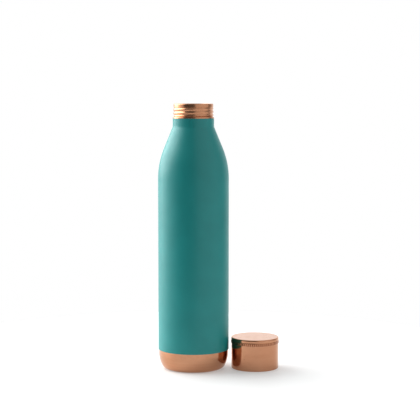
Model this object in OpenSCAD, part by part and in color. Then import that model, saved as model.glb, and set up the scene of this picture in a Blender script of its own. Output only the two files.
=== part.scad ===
// Copper water bottle with an enamelled body, bare copper base and threaded neck,
// and its screw cap standing beside it, open end down.
// Origin: centre of the bottle's foot on the table. +Z up, millimetres.

/* [Bottle] */
// Outer diameter of the straight body, over the coat
body_d = 72; // [66:0.5:90]
// Height of the bottle without its cap
bottle_h = 270.6; // [220:0.2:330]
// Thickness of the body's copper sheet
body_wall = 0.45; // [0.4:0.05:1]
// Thickness of the enamel coat
coat_t = 0.12; // [0.1:0.01:0.3]
// Radius of the shoulder's curve where it leaves the straight body
shoulder_r = 82; // [40:1:100]
// Half angle of the shoulder's cone
shoulder_angle = 22.3; // [18:0.1:28]
// Radius of the hollow curve between the shoulder and the neck
neck_fillet_r = 7; // [4:0.5:12]

/* [Base] */
// Height of the bare copper base, up to the coat's lower edge
base_h = 20; // [18:0.5:40]
// Thickness of the base's copper sheet
base_wall = 0.6; // [0.4:0.05:1]
// Height at which the base starts to round in
heel_h = 16; // [13:0.5:17.5]
// Radius of the rounding just above the foot
heel_r = 5.8; // [4:0.1:7]
// Radial distance from the base's side to the foot's outer edge
heel_inset = 8.5; // [8:0.1:12]
// Radial width of the flat foot
foot_w = 2.7; // [2:0.1:5]
// Depth of the recess under the bottle
punt_depth = 3; // [1.5:0.1:3.8]
// Radius of the recess's two bends
punt_bend_r = 2.5; // [2:0.1:5]
// Height over which the base cup reaches up inside the body
base_lap = 7; // [4:0.5:12]
// Leg of the braze fillets inside the bottle
braze_leg = 0.8; // [0.4:0.1:1.2]

/* [Neck] */
// Outer diameter of the neck, over the coat
neck_d = 41.9; // [34:0.1:51]
// Height of the coated straight neck
collar_h = 7.1; // [3:0.1:12]
// Height of the flange that closes the coated neck
flange_h = 1.4; // [1:0.1:3]
// Radial step from the coated neck in to the lip
lip_step = 0.8; // [0.6:0.05:1.5]
// Height of the plain lip above the thread
lip_h = 3.5; // [2.5:0.1:6]
// Radius of the lip's outer rounding
lip_round = 0.9; // [0.4:0.1:1]
// Wall of the neck ring at the lip, between its outside and the mouth's bore
mouth_wall = 1.4; // [1.3:0.05:2.5]
// Height of the threaded stretch
thread_h = 9.9; // [8:0.1:14]
// Rise of the thread in one turn
thread_pitch = 3.5; // [3:0.1:5]
// Radial depth of the thread, from root to crest
thread_depth = 0.8; // [0.7:0.05:1.2]

/* [Cap] */
// Height of the cap
cap_h = 32.2; // [31:0.2:40]
// Thickness of the cap's copper sheet
cap_wall = 0.5; // [0.4:0.05:0.8]
// Radius of the skirt's rolled hem
hem_r = 0.9; // [0.6:0.1:1.2]
// Radial gap between the skirt and the threaded liner inside it
liner_gap = 1.75; // [1.5:0.05:4]
// Thickness of the top cup's side, which is pressed over the skirt
top_wall = 0.3; // [0.3:0.05:0.55]
// Height of the top cup's side
top_side_h = 6.3; // [4.5:0.1:9]
// Radius of the top cup's rounded edge
top_round = 1.1; // [0.6:0.1:1.5]
// Height of the knurled band
knurl_h = 3.2; // [2:0.1:4]
// Height of the knurl's ridges over the top cup's side
knurl_depth = 0.15; // [0.1:0.05:0.5]
// Number of the knurl's ridges
knurl_n = 72; // [36:4:120]
// Thickness of the sealing washer
gasket_t = 2; // [1.5:0.1:2.5]
// Radial width of the sealing washer
gasket_w = 5; // [3:0.5:8]
// Gap between the body and the cap standing beside it
cap_gap = 2.4; // [1:0.1:60]

/* [Fits] */
// Radial clearance between the neck thread's crests and the cap thread's roots
thread_clearance = 0.3; // [0.2:0.05:0.4]
// Radial gap between the lip and the crests of the cap's thread
lip_clearance = 0.15; // [0.1:0.05:0.3]
// Radial gap between the coated neck and the cap's liner
collar_clearance = 0.4; // [0.3:0.05:0.6]
// Gap between the closed cap and the shoulder below it
hem_clearance = 0.3; // [0.2:0.05:0.6]
// Radial gap around the sealing washer in its seat
gasket_clearance = 0.3; // [0.2:0.05:0.4]
// Running gap between the washer and the roof above it
gasket_play = 0.1; // [0.05:0.05:0.2]

/* [Hidden] */
$fn = 96;

// Steps in which the sheets' bends and the thread's wave are drawn
bend_steps = 10;
shoulder_steps = 20;
hem_steps = 16;
thread_sides = 48;
thread_layers_per_turn = 12;

// How far one solid of a piece runs into the next, so that they join
bite = 0.1;

// Radii of the bottle's layers, from the outside in
body_r = body_d / 2;
neck_r = neck_d / 2;
shell_inset = coat_t + body_wall;
base_r = body_r - shell_inset;
sleeve_r = neck_r - shell_inset;

// The neck ring's radii
lip_r = neck_r - lip_step;
crest_r = lip_r + thread_depth / 2;
root_r = lip_r - thread_depth / 2;
mouth_r = lip_r - mouth_wall;

// Heights down the neck from the lip
lip_z = bottle_h - lip_h;
thread_z = lip_z - thread_h;
flange_z = thread_z - flange_h;
collar_z = flange_z - collar_h;
sleeve_z = collar_z + braze_leg;

// The shoulder: a hollow fillet below the neck, a cone, and a curve into the straight body
sink = 1 - cos(shoulder_angle);
cone_dr = body_r - neck_r - (shoulder_r + neck_fillet_r) * sink;
cone_dz = cone_dr / tan(shoulder_angle);
shoulder_z = collar_z - cone_dz - (shoulder_r + neck_fillet_r) * sin(shoulder_angle);

// The base's side: a wide curve from the side down to the heel's tighter one
foot_r = base_r - heel_inset;
foot_in_r = foot_r - foot_w;
flank_r = (pow(heel_inset, 2) + pow(heel_h, 2) - 2 * heel_h * heel_r) / (2 * (heel_inset - heel_r));
flank_angle = asin((heel_h - heel_r) / (flank_r - heel_r));
punt_angle = acos(1 - punt_depth / (2 * punt_bend_r));
rim_z = base_h + base_lap;

// The cap's radii, from the neck's thread out to its band
liner_crest_r = lip_r + lip_clearance;
liner_root_r = crest_r + thread_clearance;
liner_bore_r = neck_r + collar_clearance;
gasket_r = liner_root_r;
seat_r = gasket_r + gasket_clearance;
liner_r = max(seat_r, liner_bore_r) + cap_wall;
skirt_in_r = liner_r + liner_gap;
skirt_r = skirt_in_r + cap_wall;
top_r = skirt_r + top_wall;

// The closed cap's height over the table: its hem stops over the cone of the shoulder,
// or its roof stops the washer on the lip, whichever is higher
cone_top_r = neck_r + neck_fillet_r * sink;
cone_top_z = collar_z - neck_fillet_r * sin(shoulder_angle);
hem_room = skirt_r - 2 * hem_r - hem_clearance - cone_top_r;
hem_stop_z = cone_top_z - hem_room / tan(shoulder_angle) - hem_r;
seal_h = gasket_t + gasket_play;
roof_stop_z = bottle_h + seal_h + cap_wall + top_round - cap_h;
closed_z = max(hem_stop_z, roof_stop_z);

// Heights in the cap from its hem up
liner_z = collar_z - closed_z + bite;
cap_thread_z = thread_z - closed_z + hem_clearance;
washer_z = bottle_h - closed_z;
seat_z = washer_z - gasket_clearance;
roof_z = washer_z + seal_h;

// Where the cap stands
cap_x = body_r + cap_gap + top_r + knurl_depth;

// Points along an arc about centre c, from angle a0 to a1
function arc(c, r, a0, a1, n = bend_steps) =
    [for (i = [0 : n]) let (a = a0 + (a1 - a0) * i / n) c + r * [cos(a), sin(a)]];

function reversed(list) = [for (i = [len(list) - 1 : -1 : 0]) list[i]];

// The body's outline a distance d inside its outer face, from the base up to the flange
function body_line(d) = concat(
    [[body_r - d, base_h]],
    arc([body_r - shoulder_r, shoulder_z], shoulder_r - d, 0, shoulder_angle, shoulder_steps),
    arc([neck_r + neck_fillet_r, collar_z], neck_fillet_r + d, 180 + shoulder_angle, 180),
    [[neck_r - d, flange_z]]
);

// The base sheet's outline a distance d inside its outer face, from the rim to the axis
function base_line(d) = let (
    flank_c = [base_r - flank_r, heel_h],
    heel_c = [foot_r, heel_r],
    bend_c = [foot_in_r, punt_bend_r],
    punt_c = [foot_in_r - 2 * punt_bend_r * sin(punt_angle), punt_depth - punt_bend_r]
) concat(
    [[base_r - d, rim_z]],
    arc(flank_c, flank_r - d, 0, -flank_angle),
    arc(heel_c, heel_r - d, -flank_angle, -90),
    arc(bend_c, punt_bend_r - d, -90, -90 - punt_angle),
    arc(punt_c, punt_bend_r + d, 90 - punt_angle, 90),
    [[0, punt_depth + d]]
);

// A rod of radius r whose surface swings out by depth along a right-hand helix,
// and fades back to r at both ends
module helix_rod(r, depth, z0, z1, phase = 0) {
    layers = ceil((z1 - z0) / thread_pitch * thread_layers_per_turn);
    step = 360 / thread_sides;
    rings = [for (k = [0 : layers]) let (
        z = z0 + (z1 - z0) * k / layers,
        fade = min(1, 2 * (z - z0) / thread_pitch, 2 * (z1 - z) / thread_pitch)
    ) [for (s = [0 : thread_sides - 1]) let (
        a = s * step,
        swing = depth * fade * (1 + cos(360 * z / thread_pitch - a + phase)) / 2
    ) [(r + swing) * cos(a), (r + swing) * sin(a), z]]];
    quads = [for (k = [0 : layers - 1]) for (s = [0 : thread_sides - 1]) let (
        next = (s + 1) % thread_sides,
        low = k * thread_sides,
        high = low + thread_sides
    ) [[low + s, high + s, high + next], [low + s, high + next, low + next]]];
    faces = concat(
        [for (q = quads) for (f = q) f],
        [[for (s = [0 : thread_sides - 1]) s]],
        [[for (s = [thread_sides - 1 : -1 : 0]) layers * thread_sides + s]]
    );
    polyhedron(points = [for (ring = rings) for (p = ring) p], faces = faces);
}

// A fillet of braze below or above a sheet's edge, in the corner at radius r and height z
module braze_ring(r, z, width, leg) {
    color("#d9b48f")
    rotate_extrude()
    polygon([[r, z], [r, z + leg], [r - width, z]]);
}

// Drawn copper cup under the body, recessed in the middle
module base_cup() {
    color("#c47a55")
    rotate_extrude()
    polygon(concat(base_line(0), reversed(base_line(base_wall))));
}

// Braze inside the body, above the base cup's rim
module base_braze() {
    braze_ring(base_r, rim_z, base_wall, braze_leg);
}

// Spun copper shell: straight body, shoulder and neck in one sheet
module body_shell() {
    color("#b87050")
    rotate_extrude()
    polygon(concat(body_line(coat_t), reversed(body_line(shell_inset))));
}

// Baked enamel over the whole outside of the shell
module enamel_coat() {
    color("#2f8583")
    rotate_extrude()
    polygon(concat(body_line(0), reversed(body_line(coat_t))));
}

// Turned copper ring in the neck: sleeve, flange, rolled thread and lip round one bore
module neck_ring() {
    in_round = mouth_wall - lip_round - bite;
    color("#cf8660") {
        rotate_extrude()
        polygon(concat(
            [[mouth_r, sleeve_z], [sleeve_r, sleeve_z], [sleeve_r, flange_z]],
            [[neck_r, flange_z], [neck_r, thread_z], [root_r - bite, thread_z]],
            [[root_r - bite, lip_z], [lip_r, lip_z]],
            arc([lip_r - lip_round, bottle_h - lip_round], lip_round, 0, 90),
            arc([mouth_r + in_round, bottle_h - in_round], in_round, 90, 180)
        ));
        difference() {
            helix_rod(root_r, thread_depth, thread_z - bite, lip_z + bite);
            translate([0, 0, thread_z - 1])
            cylinder(r = mouth_r, h = thread_h + 2);
        }
    }
}

// Braze inside the neck, under the neck ring's sleeve
module neck_braze() {
    braze_ring(sleeve_r, sleeve_z, sleeve_r - mouth_r, -braze_leg);
}

// Spun copper sleeve of the cap, its lower edge rolled in to a hem
module cap_skirt() {
    top_z = cap_h - top_round;
    color("#c88058")
    translate([cap_x, 0, 0])
    rotate_extrude()
    polygon(concat(
        [[skirt_in_r, top_z], [skirt_r, top_z]],
        arc([skirt_r - hem_r, hem_r], hem_r, 0, acos(1 - cap_wall / hem_r) - 360, hem_steps)
    ));
}

// Copper cup pressed over the top of the skirt, its side knurled
module cap_top() {
    side_z = cap_h - top_side_h;
    in_round = top_round - top_wall;
    color("#d9936a")
    translate([cap_x, 0, 0]) {
        rotate_extrude()
        polygon(concat(
            [[0, cap_h - top_wall], [0, cap_h]],
            arc([top_r - top_round, cap_h - top_round], top_round, 90, 0),
            [[top_r, side_z], [skirt_r, side_z]],
            arc([skirt_r - in_round, cap_h - top_round], in_round, 0, 90)
        ));
        translate([0, 0, side_z])
        difference() {
            linear_extrude(height = knurl_h)
            polygon([for (i = [0 : 4 * knurl_n - 1]) let (
                a = 90 * i / knurl_n,
                r = top_r + (i % 4 < 2 ? knurl_depth : -bite)
            ) r * [cos(a), sin(a)]]);
            translate([0, 0, -1])
            cylinder(r = skirt_r + top_wall / 2, h = knurl_h + 2);
        }
    }
}

// Copper liner pressed into the skirt: roof, washer seat, thread and plain bore
module cap_liner() {
    color("#c9855f")
    translate([cap_x, 0, 0])
    difference() {
        union() {
            translate([0, 0, liner_z])
            cylinder(r = liner_r, h = roof_z + cap_wall - liner_z);
            translate([0, 0, roof_z])
            cylinder(r = skirt_in_r, h = cap_wall);
        }
        helix_rod(
            liner_root_r,
            liner_crest_r - liner_root_r,
            cap_thread_z - bite,
            seat_z + bite,
            360 * closed_z / thread_pitch + 180
        );
        translate([0, 0, liner_z - 1])
        cylinder(r = liner_bore_r, h = cap_thread_z - liner_z + 1);
        translate([0, 0, seat_z])
        cylinder(r = seat_r, h = roof_z - seat_z);
    }
}

// Silicone washer that the lip seals against
module cap_gasket() {
    color("#e8e4da")
    translate([cap_x, 0, washer_z])
    difference() {
        cylinder(r = gasket_r, h = gasket_t);
        translate([0, 0, -1])
        cylinder(r = gasket_r - gasket_w, h = gasket_t + 2);
    }
}

base_cup();
base_braze();
body_shell();
enamel_coat();
neck_ring();
neck_braze();
cap_skirt();
cap_top();
cap_liner();
cap_gasket();
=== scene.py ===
import math

import bpy
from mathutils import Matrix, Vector


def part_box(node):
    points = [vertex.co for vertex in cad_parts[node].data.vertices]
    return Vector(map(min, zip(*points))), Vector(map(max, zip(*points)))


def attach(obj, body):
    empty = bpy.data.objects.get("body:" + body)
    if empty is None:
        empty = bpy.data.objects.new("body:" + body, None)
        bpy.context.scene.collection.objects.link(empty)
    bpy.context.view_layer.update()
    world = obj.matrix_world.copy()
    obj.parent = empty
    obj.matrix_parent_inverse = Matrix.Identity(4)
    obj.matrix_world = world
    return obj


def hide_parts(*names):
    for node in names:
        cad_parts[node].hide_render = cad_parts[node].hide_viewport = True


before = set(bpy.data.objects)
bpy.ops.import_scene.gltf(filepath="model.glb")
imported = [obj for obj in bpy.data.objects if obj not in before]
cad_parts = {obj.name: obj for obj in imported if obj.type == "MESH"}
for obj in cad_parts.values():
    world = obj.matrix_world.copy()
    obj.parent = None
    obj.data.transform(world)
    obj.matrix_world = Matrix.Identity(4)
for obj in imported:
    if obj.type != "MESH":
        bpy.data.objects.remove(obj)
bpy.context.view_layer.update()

# ---------------------------------------------------------------- sizes, in metres

MM = 0.001
TAU = 2 * math.pi

# Sheets, steps and bends as they are in the CAD model, which a node's box doesn't give
COAT_T = 0.12 * MM
SHELL_T = 0.45 * MM
BASE_T = 0.6 * MM
CAP_T = 0.5 * MM
SHOULDER_R = 82 * MM
SHOULDER_ANGLE = math.radians(22.3)
NECK_FILLET_R = 7 * MM
COLLAR_H = 7.1 * MM
HEEL_H = 16 * MM
HEEL_R = 5.8 * MM
HEEL_INSET = 8.5 * MM
FOOT_W = 2.7 * MM
PUNT_DEPTH = 3 * MM
PUNT_BEND_R = 2.5 * MM
LIP_H = 3.5 * MM
LIP_STEP = 0.8 * MM
LIP_ROUND = 0.9 * MM
MOUTH_WALL = 1.4 * MM
THREAD_H = 9.9 * MM
THREAD_PITCH = 3.5 * MM
THREAD_DEPTH = 0.8 * MM
LIP_CLEARANCE = 0.15 * MM
HEM_CLEARANCE = 0.3 * MM
COLLAR_CLEARANCE = 0.4 * MM
SEAT_CLEARANCE = 0.3 * MM
HEM_R = 0.9 * MM
LINER_GAP = 1.75 * MM
TOP_ROUND = 1.1 * MM
TOP_T = 0.3 * MM
KNURL_H = 3.2 * MM
KNURL_DEPTH = 0.15 * MM
KNURL_COUNT = 72
GASKET_W = 5 * MM

# Small roundings of edges and inner corners, the share of a layer's thickness that its edges are rounded
# by, and the heights over which the knurl and the painted shade in its grooves fade out
LIP_EDGE = 0.25 * MM
MOUTH_EDGE = 0.4 * MM
SLEEVE_EDGE = 0.15 * MM
FLANGE_CORNER = 0.05 * MM
FLANGE_EDGE = 0.1 * MM
FLANGE_ROUND = 0.3 * MM
THREAD_CORNER = 0.2 * MM
SKIRT_EDGE = 0.1 * MM
LINER_EDGE = 0.12 * MM
LINER_CORNER = 0.3 * MM
BAND_EDGE = 0.15 * MM
BAND_CORNER = 0.1 * MM
BASE_EDGE = 0.2 * MM
GASKET_ROUND = 0.35 * MM
LAYER_EDGE = 0.35
KNURL_FADE = 0.5 * MM
GROOVE_SHADE_FADE = 0.4 * MM

# The studio: the brightness at each bearing in degrees and overhead, which fades in between two sines
# of elevation, then the backdrop, the key light, the table and the picture's tone curve
STUDIO = [
    (-180, 1.3),
    (-140, 1.3),
    (-130, 1.8),
    (-92, 1.8),
    (-84, 1.5),
    (-62, 0.9),
    (-54, 0.14),
    (4, 0.14),
    (18, 0.9),
    (92, 1.0),
    (100, 0.4),
    (120, 0.4),
    (130, 1.1),
    (180, 1.3),
]
OVERHEAD = 0.65
OVERHEAD_FROM = 0.8
OVERHEAD_FULL = 0.95
BACKDROP = 1.0
KEY_BEARING = -117
KEY_HEIGHT = 29
KEY_SPREAD = 68
KEY_ENERGY = 3.25
FLOOR_R = 0.35
FLOOR_GLOW = 0.32
FLOOR_DARK = 0.59
FLOOR_LIGHT = 0.61
GAMMA = 0.85

# The camera: its place, how far it looks down in degrees, and its lens and film in millimetres
CAMERA_AT = (16.83 * MM, -1341.7 * MM, 280.8 * MM)
CAMERA_DIP = 5.037
CAMERA_LENS = 113.28
CAMERA_FILM = 36.0

# Colours, most with a lighter and a darker one, and roughness
BASE_LIGHT = (0.58, 0.322, 0.2)
BASE_DARK = (0.47, 0.212, 0.118)
NECK_LIGHT = (0.58, 0.315, 0.193)
NECK_DARK = (0.48, 0.22, 0.12)
CAP_LIGHT = (0.56, 0.305, 0.19)
CAP_DARK = (0.465, 0.21, 0.115)
INNER_LIGHT = (0.72, 0.38, 0.24)
INNER_DARK = (0.5, 0.2, 0.11)
LINER_LIGHT = (0.78, 0.42, 0.26)
LINER_DARK = (0.55, 0.24, 0.13)
# Painted shade: the dark copper that is laid into the knurl's grooves
GROOVE_SHADE = (0.22, 0.08, 0.04)
COAT_FACE = (0.013, 0.275, 0.27)
COAT_DEEP = (0.011, 0.255, 0.25)
COAT_PALE = (0.032, 0.32, 0.315)
BRAZE_LIGHT = (0.86, 0.7, 0.5)
BRAZE_DARK = (0.62, 0.4, 0.24)
RUBBER = (0.8, 0.78, 0.72)
RUBBER_DUST = (0.6, 0.56, 0.48)
COAT_ROUGH = 0.4
BASE_ROUGH = 0.15
NECK_ROUGH = 0.25
CAP_ROUGH = 0.14
INNER_ROUGH = 0.3
LINER_ROUGH = 0.24
COAT_IOR = 1.55
ROUGH_SPREAD = 0.03
SMUDGE_ROUGH = 0.07
SCRATCH_ROUGH = 0.12
GROOVE_ROUGH = 0.15
MARK_TINT = 0.16
MARK_STRETCH = 0.02

# Depth of the relief in each surface, of the braze's uneven edge and of the lip's dent in the washer
TURNING_DEPTH = 0.006 * MM
GRAIN_DEPTH = 0.0015 * MM
PEEL_DEPTH = 0.012 * MM
PIGMENT_DEPTH = 0.002 * MM
BRAZE_DEPTH = 0.05 * MM
MOULD_DEPTH = 0.01 * MM
RIPPLE_DEPTH = 0.03 * MM
DENT_DEPTH = 0.1 * MM

# How finely the surfaces are drawn. SAG is the most that a facet leaves its arc, and HOLD is how far
# from a bend the point is that keeps the next stretch straight. Ends within TOUCH become one point,
# and radii within SAME_R count as the same.
SAG = 0.004 * MM
HOLD = 0.15 * MM
TOUCH = 0.001 * MM
SAME_R = 1e-7
THREAD_STEP = 0.12 * MM
KNURL_STEP = 0.15 * MM
SIDES = 192
BODY_SIDES = 256
NECK_SIDES = 288
LINER_SIDES = 240
BAND_SIDES = 10 * KNURL_COUNT
FLOOR_SIDES = 96
FILLET_STEPS = 8
HEM_STEPS = 24


def top_of(node):
    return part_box(node)[1].z


def foot_of(node):
    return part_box(node)[0].z


def radius_of(node):
    low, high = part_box(node)
    return (high.x - low.x) / 2


def axis_of(node):
    low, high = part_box(node)
    return (low.x + high.x) / 2, (low.y + high.y) / 2


# ---------------------------------------------------------------- outlines and meshes


def bend(before, corner, after, radius):
    """Points of the arc of this radius that rounds a corner."""
    a = (before - corner).normalized()
    b = (after - corner).normalized()
    half = a.angle(b) / 2
    centre = corner + (a + b).normalized() * (radius / math.sin(half))
    start = corner + a * (radius / math.tan(half)) - centre
    end = corner + b * (radius / math.tan(half)) - centre
    turn = math.pi - 2 * half
    count = max(2, math.ceil(turn / (2 * math.acos(1 - min(0.2, SAG / radius)))))
    points = []
    for i in range(count + 1):
        near, far = math.sin(turn * (1 - i / count)), math.sin(turn * i / count)
        points.append(centre + (start * near + end * far) / math.sin(turn))
    return points


def outline(corners):
    """(radius, height) points through corners, each (r, z) or (r, z, rounding). Where two bends leave a
    straight stretch between them, it holds a point close to each bend, so that it shades straight."""
    places = [Vector(c[:2]) for c in corners]
    runs = [[places[0]]]
    for i in range(1, len(corners) - 1):
        if len(corners[i]) < 3:
            runs.append([places[i]])
        else:
            runs.append(bend(places[i - 1], places[i], places[i + 1], corners[i][2]))
    runs.append([places[-1]])
    points = list(runs[0])
    for last, run in zip(runs, runs[1:]):
        gap = run[0] - last[-1]
        if gap.length > 4 * HOLD:
            if len(last) > 1:
                points.append(last[-1] + gap.normalized() * HOLD)
            if len(run) > 1:
                points.append(run[0] - gap.normalized() * HOLD)
        points.extend(run if gap.length > TOUCH else run[1:])
    return points


def divided(points, radius, step):
    """The outline with its upright stretches at this radius cut into short steps."""
    result = [points[0]]
    for a, b in zip(points, points[1:]):
        if abs(a.x - radius) < SAME_R and abs(b.x - radius) < SAME_R:
            count = math.ceil((b - a).length / step)
            result.extend(a.lerp(b, i / count) for i in range(1, count))
        result.append(b)
    return result


def area_of(points):
    """The area inside a closed outline, below 0 where it runs clockwise."""
    return sum(a.x * b.y - b.x * a.y for a, b in zip(points, points[1:] + points[:1])) / 2


def lathe(name, points, material, node, body, sides=SIDES, shape=None):
    """A closed outline turned about its CAD node's axis. shape gives the radius at an angle, from the
    outline's own radius and height. The piece stands for the node, and rides with its body."""
    cx, cy = axis_of(node)
    points = [Vector(p) for p in points]
    if area_of(points) < 0:
        points.reverse()
    verts, rings = [], []
    for r, z in points:
        if r < SAME_R:
            rings.append([len(verts)] * sides)
            verts.append((cx, cy, z))
            continue
        rings.append(range(len(verts), len(verts) + sides))
        for s in range(sides):
            angle = TAU * s / sides
            at = shape(angle, r, z) if shape else r
            verts.append((cx + at * math.cos(angle), cy + at * math.sin(angle), z))
    faces = []
    for low, high in zip(rings, rings[1:] + rings[:1]):
        for s in range(sides):
            t = (s + 1) % sides
            face = list(dict.fromkeys((low[s], low[t], high[t], high[s])))
            if len(face) > 2:
                faces.append(face)
    mesh = bpy.data.meshes.new(name)
    mesh.from_pydata(verts, [], faces)
    mesh.polygons.foreach_set("use_smooth", [True] * len(mesh.polygons))
    mesh.materials.append(material)
    obj = bpy.data.objects.new(name, mesh)
    bpy.context.scene.collection.objects.link(obj)
    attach(obj, body)
    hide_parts(node)


# ---------------------------------------------------------------- materials


class Nodes:
    """Short calls that add nodes to a tree and join them."""

    def __init__(self, tree):
        self.tree = tree

    def put(self, socket, value):
        """Joins another node's output to the socket, or sets the socket's own value."""
        if isinstance(value, bpy.types.NodeSocket):
            self.tree.links.new(value, socket)
        else:
            socket.default_value = value

    def add(self, kind, inputs, **settings):
        node = self.tree.nodes.new(kind)
        for key, value in settings.items():
            setattr(node, key, value)
        for key, value in inputs.items():
            self.put(node.inputs[key], value)
        return node

    def place(self):
        return self.add("ShaderNodeTexCoord", {}).outputs["Object"]

    def math(self, operation, a, b=0.0):
        return self.add("ShaderNodeMath", {0: a, 1: b}, operation=operation).outputs[0]

    def noise(self, vector, scale, detail=2.0, roughness=0.5):
        """Noise from 0 to 1, its scale in cells per metre."""
        inputs = {"Vector": vector, "Scale": scale, "Detail": detail, "Roughness": roughness}
        return self.add("ShaderNodeTexNoise", inputs).outputs["Fac"]

    def spread(self, value, low, high, to_low, to_high):
        """to_low where the value is low or less, to_high where it is high or more, and a ramp between."""
        inputs = {0: value, 1: low, 2: high, 3: to_low, 4: to_high}
        return self.add("ShaderNodeMapRange", inputs, clamp=True).outputs[0]

    def mix(self, amount, a, b):
        inputs = {0: amount, 6: a, 7: b}
        return self.add("ShaderNodeMix", inputs, data_type="RGBA").outputs[2]

    def bump(self, height, distance, below=None):
        inputs = {"Height": height, "Distance": distance}
        if below:
            inputs["Normal"] = below
        return self.add("ShaderNodeBump", inputs).outputs["Normal"]


class Surface(Nodes):
    """A material, with the same calls for its nodes."""

    def __init__(self, name):
        self.material = bpy.data.materials.new(name)
        self.material.use_nodes = True
        super().__init__(self.material.node_tree)

    def finish(self, **sockets):
        shader = self.tree.nodes["Principled BSDF"]
        for key, value in sockets.items():
            self.put(shader.inputs[key.replace("_", " ")], value)
        return self.material


def turned(n, place, axis, lean):
    """Coordinates that run slowly round an axis and fast across the marks of turning."""
    x, y, z = n.add("ShaderNodeSeparateXYZ", {0: place}).outputs
    x = n.math("SUBTRACT", x, axis[0])
    y = n.math("SUBTRACT", y, axis[1])
    radius = n.math("SQRT", n.math("ADD", n.math("MULTIPLY", x, x), n.math("MULTIPLY", y, y)))
    across = n.math("ADD", z, n.math("MULTIPLY", radius, lean))
    x = n.math("MULTIPLY", x, MARK_STRETCH)
    y = n.math("MULTIPLY", y, MARK_STRETCH)
    return n.add("ShaderNodeCombineXYZ", {0: x, 1: y, 2: across}).outputs[0]


def painted_groove_shade(n, place, axis):
    """1 in the grooves of the cap's knurled band, where shade is painted, and 0 elsewhere."""
    x, y, z = n.add("ShaderNodeSeparateXYZ", {0: place}).outputs
    angle = n.math("ARCTAN2", n.math("SUBTRACT", y, axis[1]), n.math("SUBTRACT", x, axis[0]))
    wave = n.math("COSINE", n.math("MULTIPLY", angle, KNURL_COUNT))
    foot_z = foot_of("cap_top")
    low = n.spread(z, foot_z, foot_z + GROOVE_SHADE_FADE, 0.0, 1.0)
    high = n.spread(z, foot_z + KNURL_H - GROOVE_SHADE_FADE, foot_z + KNURL_H, 1.0, 0.0)
    return n.math("MULTIPLY", n.spread(wave, -0.7, 0.5, 1.0, 0.0), n.math("MULTIPLY", low, high))


def copper(name, light, dark, rough, axis=(0, 0), lean=1.0, patina=0.25, grooved=False):
    """Bare copper with the marks of turning, hairline scratches, smudges and a warm patina, and where
    grooved, painted shade in the knurl's grooves.
    """
    n = Surface(name)
    place = n.place()
    lines = turned(n, place, axis, lean)
    fine = n.noise(lines, 5200, 3.0, 0.6)
    coarse = n.noise(lines, 900)
    cloud = n.noise(place, 55, 4.0, 0.55)
    smudge = n.noise(place, 210, 3.0, 0.6)
    grain = n.noise(place, 2600)
    hair = n.math("ABSOLUTE", n.math("SUBTRACT", n.noise(place, 330, 1.0), 0.5))
    scratch = n.spread(hair, 0.0, 0.004, 1.0, 0.0)
    base = n.mix(n.spread(cloud, 0.35, 0.7, 0.0, patina), (*light, 1), (*dark, 1))
    base = n.mix(n.spread(coarse, 0.35, 0.7, 0.0, MARK_TINT), base, (*dark, 1))
    sheen = n.spread(smudge, 0.42, 0.68, rough - ROUGH_SPREAD, rough + SMUDGE_ROUGH)
    sheen = n.math("ADD", sheen, n.math("MULTIPLY", scratch, SCRATCH_ROUGH))
    if grooved:
        # Painted shade: the knurl's grooves darkened to the groove colour, and made rougher
        groove_shade = painted_groove_shade(n, place, axis)
        base = n.mix(groove_shade, base, (*GROOVE_SHADE, 1))
        sheen = n.math("ADD", sheen, n.math("MULTIPLY", groove_shade, GROOVE_ROUGH))
    ridges = n.math("ADD", n.math("MULTIPLY", fine, 0.6), n.math("MULTIPLY", coarse, 0.4))
    normal = n.bump(ridges, TURNING_DEPTH)
    normal = n.bump(n.math("SUBTRACT", grain, scratch), GRAIN_DEPTH, normal)
    return n.finish(Base_Color=base, Metallic=1.0, Roughness=sheen, Normal=normal)


def enamel(name, face, deep, pale):
    """Satin baked enamel with a fine orange peel and pale specks of pigment."""
    n = Surface(name)
    place = n.place()
    peel = n.noise(place, 900)
    grain = n.noise(place, 4200, 2.0, 0.6)
    base = n.mix(n.spread(n.noise(place, 38, 3.0), 0.35, 0.65, 0.0, 1.0), (*face, 1), (*deep, 1))
    base = n.mix(n.spread(grain, 0.62, 0.8, 0.0, 0.25), base, (*pale, 1))
    blotch = n.noise(place, 120, 4.0, 0.65)
    rough = n.spread(blotch, 0.3, 0.7, COAT_ROUGH - ROUGH_SPREAD, COAT_ROUGH + ROUGH_SPREAD)
    rough = n.math("ADD", rough, n.spread(grain, 0.3, 0.7, -0.02, 0.02))
    normal = n.bump(grain, PIGMENT_DEPTH, n.bump(peel, PEEL_DEPTH))
    return n.finish(Base_Color=base, Roughness=rough, Normal=normal, IOR=COAT_IOR)


def braze(name):
    """Silver braze: pale, blotched and slightly rippled."""
    n = Surface(name)
    blotch = n.noise(n.place(), 420, 4.0, 0.6)
    base = n.mix(n.spread(blotch, 0.35, 0.65, 0.0, 1.0), (*BRAZE_LIGHT, 1), (*BRAZE_DARK, 1))
    rough = n.spread(blotch, 0.3, 0.7, 0.28, 0.5)
    return n.finish(Base_Color=base, Metallic=1.0, Roughness=rough, Normal=n.bump(blotch, BRAZE_DEPTH))


def silicone(name):
    """Milky silicone rubber with moulding grain and a trace of dust."""
    n = Surface(name)
    place = n.place()
    grain = n.noise(place, 1800, 3.0, 0.6)
    dust = n.spread(n.noise(place, 300, 4.0, 0.7), 0.45, 0.75, 0.0, 0.6)
    base = n.mix(dust, (*RUBBER, 1), (*RUBBER_DUST, 1))
    rough = n.spread(grain, 0.3, 0.7, 0.42, 0.6)
    n.finish(Subsurface_Weight=0.2, Subsurface_Scale=0.5 * MM)
    return n.finish(Base_Color=base, Roughness=rough, Normal=n.bump(grain, MOULD_DEPTH))


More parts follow.
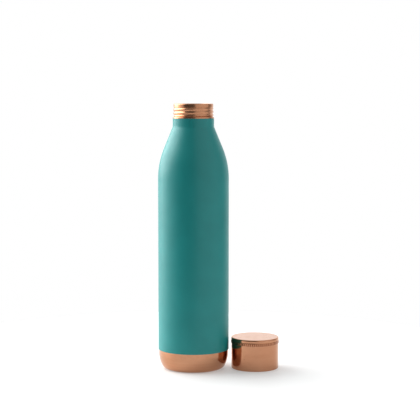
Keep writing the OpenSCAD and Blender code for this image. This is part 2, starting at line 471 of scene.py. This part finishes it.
cap_axis = axis_of("cap_skirt")
coat_enamel = enamel("teal_enamel", COAT_FACE, COAT_DEEP, COAT_PALE)
base_copper = copper("base_copper", BASE_LIGHT, BASE_DARK, BASE_ROUGH)
neck_copper = copper("neck_copper", NECK_LIGHT, NECK_DARK, NECK_ROUGH, lean=-1.0, patina=0.3)
shell_copper = copper("inner_copper", INNER_LIGHT, INNER_DARK, INNER_ROUGH, patina=0.7)
cap_copper = copper("cap_copper", CAP_LIGHT, CAP_DARK, CAP_ROUGH, cap_axis, -1.0)
band_copper = copper("band_copper", CAP_LIGHT, CAP_DARK, CAP_ROUGH, cap_axis, -1.0, grooved=True)
liner_copper = copper("liner_copper", LINER_LIGHT, LINER_DARK, LINER_ROUGH, cap_axis, 1.0, 0.5)
silver_braze = braze("silver_braze")
white_silicone = silicone("white_silicone")

# ---------------------------------------------------------------- the bottle

body_r = radius_of("enamel_coat")
neck_r = radius_of("neck_ring")
coat_z = foot_of("enamel_coat")
flange_z = top_of("enamel_coat")
bottle_h = top_of("neck_ring")
lip_z = bottle_h - LIP_H
thread_z = lip_z - THREAD_H
lip_r = neck_r - LIP_STEP
root_r = lip_r - THREAD_DEPTH / 2
mouth_r = lip_r - MOUTH_WALL
base_r = body_r - COAT_T - SHELL_T
sleeve_r = neck_r - COAT_T - SHELL_T


def body_side(depth, edge):
    """The body's side, shoulder and neck at this depth inside the coat's face, from the base up."""
    side_r, collar_r = body_r - depth, neck_r - depth
    half = math.tan(SHOULDER_ANGLE / 2)
    neck_corner = flange_z - COLLAR_H - (NECK_FILLET_R + depth) * half
    side_corner = neck_corner - (side_r - collar_r) / math.tan(SHOULDER_ANGLE)
    return [
        (side_r, coat_z, edge),
        (side_r, side_corner, SHOULDER_R - depth),
        (collar_r, neck_corner, NECK_FILLET_R + depth),
        (collar_r, flange_z, edge),
    ]


def body_sheet(depth, thickness):
    """The closed outline of one layer of the body, its edges rounded."""
    edge = LAYER_EDGE * thickness
    outer, inner = body_side(depth, edge), body_side(depth + thickness, edge)
    start = (body_r - depth - thickness / 2, coat_z)
    return outline([start, *outer, *reversed(inner), start])[:-1]


def base_side(depth):
    """The base sheet at this depth inside its outer face, from its rim down to the axis."""
    flank_r = HEEL_INSET**2 + HEEL_H**2 - 2 * HEEL_H * HEEL_R
    flank_r /= 2 * (HEEL_INSET - HEEL_R)
    slope = math.asin((HEEL_H - HEEL_R) / (flank_r - HEEL_R))
    rise = math.acos(1 - PUNT_DEPTH / (2 * PUNT_BEND_R))
    foot_r = base_r - HEEL_INSET
    bend_r = foot_r - FOOT_W
    punt_r = bend_r - 2 * PUNT_BEND_R * math.sin(rise)
    return [
        (base_r - depth, HEEL_H - (flank_r - depth) * math.tan(slope / 2), flank_r - depth),
        (foot_r + (HEEL_R - depth) * math.tan((TAU / 4 - slope) / 2), depth, HEEL_R - depth),
        (bend_r - (PUNT_BEND_R - depth) * math.tan(rise / 2), depth, PUNT_BEND_R - depth),
        (punt_r + (PUNT_BEND_R + depth) * math.tan(rise / 2), PUNT_DEPTH + depth, PUNT_BEND_R + depth),
        (0, PUNT_DEPTH + depth),
    ]


def base_sheet():
    """The closed outline of the base: its outer face, then its inner face back to the rim."""
    rim_z = top_of("base_cup")
    start = (base_r - BASE_T / 2, rim_z)
    outside = outline([start, (base_r, rim_z, BASE_EDGE), *base_side(0)])
    inside = outline([start, (base_r - BASE_T, rim_z, BASE_EDGE), *base_side(BASE_T)])
    return outside + inside[:0:-1]


def fillet(r, z, width, leg):
    """The outline of a hollow fillet of braze in the corner at radius r and height z."""
    steps = [i / FILLET_STEPS for i in range(FILLET_STEPS + 1)]
    return [(r, z), *((r - width * (1 - t) ** 2, z + leg * t**2) for t in steps)]


def ripple(angle, r, z):
    """The braze's slightly uneven edge."""
    return r - RIPPLE_DEPTH * (1 + math.sin(9 * angle) * math.sin(5 * angle))


def helix(angle, z, low, high, phase=0.0):
    """A right-hand thread's height from 0 to 1 at this angle and height, fading at both its ends."""
    fade = min(1.0, 2 * (z - low) / THREAD_PITCH, 2 * (high - z) / THREAD_PITCH)
    return max(0.0, fade) * (1 + math.cos(TAU * z / THREAD_PITCH - angle + phase)) / 2


def neck_outline():
    """The neck ring: its sleeve inside the shell, the flange over the coat's edge, the thread's root, the
    lip."""
    sleeve_z = foot_of("neck_ring")
    return outline(
        [
            (mouth_r, bottle_h - 4 * LIP_ROUND),
            (mouth_r, sleeve_z, SLEEVE_EDGE),
            (sleeve_r, sleeve_z, SLEEVE_EDGE),
            (sleeve_r, flange_z, FLANGE_CORNER),
            (neck_r, flange_z, FLANGE_EDGE),
            (neck_r, thread_z, FLANGE_ROUND),
            (root_r, thread_z, THREAD_CORNER),
            (root_r, lip_z, LIP_EDGE),
            (lip_r, lip_z, LIP_EDGE),
            (lip_r, bottle_h, LIP_ROUND),
            (mouth_r, bottle_h, MOUTH_EDGE),
            (mouth_r, bottle_h - 3 * LIP_ROUND),
        ]
    )


def neck_shape(angle, r, z):
    """The thread, raised from the ring's root."""
    if abs(r - root_r) > SAME_R:
        return r
    return r + THREAD_DEPTH * helix(angle, z, thread_z, lip_z)


def make_bottle():
    lathe("enamel", body_sheet(0, COAT_T), coat_enamel, "enamel_coat", "bottle", BODY_SIDES)
    lathe("shell", body_sheet(COAT_T, SHELL_T), shell_copper, "body_shell", "bottle")
    lathe("base", base_sheet(), base_copper, "base_cup", "bottle", BODY_SIDES)
    low = fillet(base_r, top_of("base_cup"), BASE_T, top_of("base_braze") - foot_of("base_braze"))
    lathe("base_fillet", low, silver_braze, "base_braze", "bottle", shape=ripple)
    leg = foot_of("neck_braze") - top_of("neck_braze")
    high = fillet(sleeve_r, foot_of("neck_ring"), sleeve_r - mouth_r, leg)
    lathe("neck_fillet", high, silver_braze, "neck_braze", "bottle", shape=ripple)
    points = divided(neck_outline(), root_r, THREAD_STEP)
    lathe("neck", points, neck_copper, "neck_ring", "bottle", NECK_SIDES, neck_shape)


# ---------------------------------------------------------------- the cap

cap_h = top_of("cap_top")
skirt_r = radius_of("cap_skirt")
top_r = skirt_r + TOP_T
side_z = foot_of("cap_top")
liner_in_r = radius_of("cap_liner")
liner_r = liner_in_r - LINER_GAP
liner_z = foot_of("cap_liner")
washer_z = foot_of("cap_gasket")
gasket_r = radius_of("cap_gasket")
roof_z = top_of("cap_liner") - CAP_T
seat_z = washer_z - SEAT_CLEARANCE
closed_z = bottle_h - washer_z
cap_thread_z = thread_z - closed_z + HEM_CLEARANCE
crest_r = lip_r + LIP_CLEARANCE


def skirt_outline():
    """The cap's sleeve, its foot rolled inwards into a hem."""
    in_r = skirt_r - CAP_T
    top_z = cap_h - TOP_ROUND
    end = TAU - math.acos(1 - CAP_T / HEM_R)
    hem = [
        (skirt_r - HEM_R + HEM_R * math.cos(a), HEM_R - HEM_R * math.sin(a))
        for a in (end * i / HEM_STEPS for i in range(HEM_STEPS + 1))
    ]
    corners = [
        (skirt_r, HEM_R * 2),
        (skirt_r, top_z, SKIRT_EDGE),
        (in_r, top_z, SKIRT_EDGE),
        (in_r, HEM_R * 3),
    ]
    return hem[::-1] + outline(corners)


def top_outline():
    """The cap's top, with the band that laps over the sleeve."""
    in_round = TOP_ROUND - TOP_T
    return outline(
        [
            (0, cap_h),
            (top_r, cap_h, TOP_ROUND),
            (top_r, side_z, BAND_EDGE),
            (skirt_r, side_z, BAND_CORNER),
            (skirt_r, cap_h - TOP_T, in_round),
            (0, cap_h - TOP_T),
        ]
    )


def knurl(angle, r, z):
    """Rounded ridges on the band's lower part."""
    if abs(r - top_r) > SAME_R:
        return r
    rise = min(1.0, (z - side_z) / KNURL_FADE, (side_z + KNURL_H - z) / KNURL_FADE)
    return r + KNURL_DEPTH * max(0.0, rise) * (1 + math.cos(KNURL_COUNT * angle)) / 2


def liner_outline():
    """The threaded cup inside the cap, with the washer's seat above the thread."""
    seat_r = gasket_r + SEAT_CLEARANCE
    bore_r = neck_r + COLLAR_CLEARANCE
    return outline(
        [
            (0, roof_z + CAP_T),
            (liner_in_r, roof_z + CAP_T, LINER_EDGE),
            (liner_in_r, roof_z, LINER_EDGE),
            (liner_r, roof_z, LINER_CORNER),
            (liner_r, liner_z, LINER_EDGE),
            (bore_r, liner_z, LINER_EDGE),
            (bore_r, cap_thread_z, LINER_EDGE),
            (gasket_r, cap_thread_z, LINER_EDGE),
            (gasket_r, seat_z, LINER_EDGE),
            (seat_r, seat_z, LINER_EDGE),
            (seat_r, roof_z, LINER_CORNER),
            (0, roof_z),
        ]
    )


def liner_shape(angle, r, z):
    """The cap's thread, its ridges in the grooves of the neck's when the cap is closed."""
    if abs(r - gasket_r) > SAME_R:
        return r
    phase = TAU * closed_z / THREAD_PITCH + math.pi
    return r - (gasket_r - crest_r) * helix(angle, z, cap_thread_z, seat_z, phase)


def washer_outline():
    """The washer, with the dent that the lip leaves in its lower face."""
    top_z = top_of("cap_gasket")
    in_r = gasket_r - GASKET_W
    return outline(
        [
            (gasket_r, washer_z + 1 * MM),
            (gasket_r, top_z, GASKET_ROUND),
            (in_r, top_z, GASKET_ROUND),
            (in_r, washer_z, GASKET_ROUND),
            (mouth_r, washer_z),
            (mouth_r + 2 * DENT_DEPTH, washer_z + DENT_DEPTH),
            (lip_r - 2 * DENT_DEPTH, washer_z + DENT_DEPTH),
            (lip_r, washer_z),
            (gasket_r, washer_z, GASKET_ROUND),
            (gasket_r, washer_z + 0.9 * MM),
        ]
    )


def make_cap():
    lathe("cap_sleeve", skirt_outline(), cap_copper, "cap_skirt", "cap")
    points = divided(top_outline(), top_r, KNURL_STEP)
    lathe("cap_band", points, band_copper, "cap_top", "cap", BAND_SIDES, knurl)
    points = divided(liner_outline(), gasket_r, THREAD_STEP)
    lathe("cap_thread", points, liner_copper, "cap_liner", "cap", LINER_SIDES, liner_shape)
    lathe("seal", washer_outline(), white_silicone, "cap_gasket", "washer")


# ---------------------------------------------------------------- floor, light and camera


def grey(level):
    return level, level, level, 1


def make_floor():
    """A round white table top."""
    n = Surface("floor_white")
    tone = n.mix(n.noise(n.place(), 3.0), grey(FLOOR_DARK), grey(FLOOR_LIGHT))
    n.finish(Base_Color=tone, Roughness=0.6, Emission_Color=grey(1), Emission_Strength=FLOOR_GLOW)
    angles = [TAU * i / FLOOR_SIDES for i in range(FLOOR_SIDES)]
    rim = [(FLOOR_R * math.cos(a), FLOOR_R * math.sin(a), 0) for a in angles]
    mesh = bpy.data.meshes.new("floor")
    mesh.from_pydata(rim, [], [range(FLOOR_SIDES)])
    mesh.materials.append(n.material)
    floor = bpy.data.objects.new("floor", mesh)
    bpy.context.scene.collection.objects.link(floor)


def make_world():
    """A white studio, dark where the camera stands and dimmer overhead. Bearings run from the camera's
    side, positive to the right."""
    world = bpy.data.worlds.new("studio")
    bpy.context.scene.world = world
    world.use_nodes = True
    n = Nodes(world.node_tree)
    way = n.add("ShaderNodeTexCoord", {}).outputs["Generated"]
    x, y, z = n.add("ShaderNodeSeparateXYZ", {0: way}).outputs
    bearing = n.math("ARCTAN2", x, n.math("MULTIPLY", y, -1.0))
    ramp = n.add("ShaderNodeValToRGB", {0: n.spread(bearing, -math.pi, math.pi, 0.0, 1.0)})
    elements = ramp.color_ramp.elements
    while len(elements) < len(STUDIO):
        elements.new(0.5)
    for element, (degrees, level) in zip(elements, STUDIO):
        element.position = degrees / 360 + 0.5
        element.color = grey(level)
    height = n.spread(z, OVERHEAD_FROM, OVERHEAD_FULL, 0.0, 1.0)
    room = n.mix(height, ramp.outputs[0], grey(OVERHEAD))
    seen = n.add("ShaderNodeLightPath", {}).outputs["Is Camera Ray"]
    shown = n.mix(seen, room, grey(BACKDROP))
    n.put(n.tree.nodes["Background"].inputs["Color"], shown)


def make_key():
    """A large soft light on the left, slightly behind."""
    data = bpy.data.lights.new("key", "SUN")
    data.energy = KEY_ENERGY
    data.angle = math.radians(KEY_SPREAD)
    light = bpy.data.objects.new("key", data)
    bearing, height = math.radians(KEY_BEARING), math.radians(KEY_HEIGHT)
    way = (math.sin(bearing) * math.cos(height), -math.cos(bearing) * math.cos(height), math.sin(height))
    light.rotation_euler = Vector(way).to_track_quat("Z", "Y").to_euler()
    bpy.context.scene.collection.objects.link(light)


def make_camera():
    """Just above the lip, looking slightly down, as far off as a long lens stands."""
    data = bpy.data.cameras.new("camera")
    data.lens = CAMERA_LENS
    data.sensor_width = CAMERA_FILM
    camera = bpy.data.objects.new("camera", data)
    camera.location = CAMERA_AT
    camera.rotation_euler = (math.radians(90 - CAMERA_DIP), 0, 0)
    bpy.context.scene.collection.objects.link(camera)
    bpy.context.scene.camera = camera


make_camera()
make_bottle()
make_cap()
make_floor()
make_world()
make_key()
bpy.context.scene.view_settings.view_transform = "Standard"
bpy.context.scene.view_settings.gamma = GAMMA
